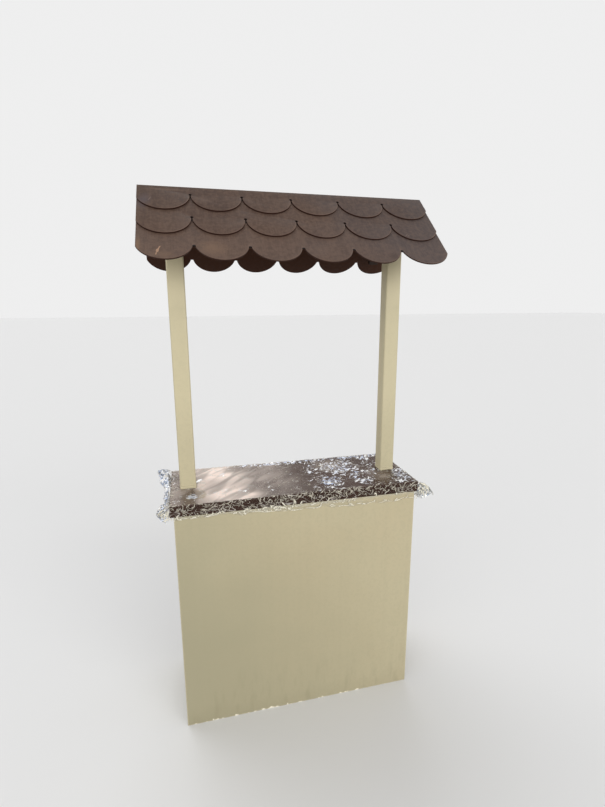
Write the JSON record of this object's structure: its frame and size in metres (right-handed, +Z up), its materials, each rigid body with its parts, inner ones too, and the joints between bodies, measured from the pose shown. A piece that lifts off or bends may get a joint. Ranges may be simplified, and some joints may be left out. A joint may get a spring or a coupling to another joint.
{
  "type": "street kiosk",
  "caption": "Painted wooden serving counter with a cream front, a brown top and a gable roof of lapped scalloped boards on two posts.",
  "frame": {"origin": "on the ground, under the middle of the counter", "axes": "+X along the counter to the right seen by a customer, +Y from the customers' side to the seller's side, +Z up"},
  "size_m": [1.118, 0.5818, 2.1682],
  "materials": {
    "cream_paint": "satin, brushed on",
    "cream_frame_paint": "thin satin paint on battens",
    "counter_paint": "satin, under clear film",
    "bare_wood": "planed, unpainted",
    "roof_frame_paint": "satin, brushed on",
    "roof_paint": "satin, worn at the edges",
    "clear_film": "glossy, crinkled"
  },
  "bodies": {
    "root": {"front_panel": "cream_paint", "left_side_panel": "cream_paint", "right_side_panel": "cream_paint", "front_left_leg": "cream_frame_paint", "front_right_leg": "cream_frame_paint", "rear_left_leg": "cream_frame_paint", "rear_right_leg": "cream_frame_paint", "front_top_rail": "cream_frame_paint", "rear_top_rail": "cream_frame_paint", "left_top_rail": "cream_frame_paint", "right_top_rail": "cream_frame_paint", "front_bottom_rail": "cream_frame_paint", "left_bottom_rail": "cream_frame_paint", "right_bottom_rail": "cream_frame_paint", "counter_board": "counter_paint", "front_edge_strip": "counter_paint", "rear_edge_strip": "counter_paint", "left_edge_strip": "counter_paint", "right_edge_strip": "counter_paint", "left_post_bearer": "bare_wood", "right_post_bearer": "bare_wood", "left_post_foot": "cream_paint", "right_post_foot": "cream_paint", "left_post": "cream_paint", "right_post": "cream_paint", "front_left_rafter": "roof_frame_paint", "front_right_rafter": "roof_frame_paint", "rear_left_rafter": "roof_frame_paint", "rear_right_rafter": "roof_frame_paint", "ridge_beam": "roof_frame_paint", "front_purlin": "roof_frame_paint", "rear_purlin": "roof_frame_paint", "front_top_course": "roof_paint", "front_middle_course": "roof_paint", "front_eave_course": "roof_paint", "rear_top_course": "roof_paint", "rear_middle_course": "roof_paint", "rear_eave_course": "roof_paint"}
  },
  "joints": []
}
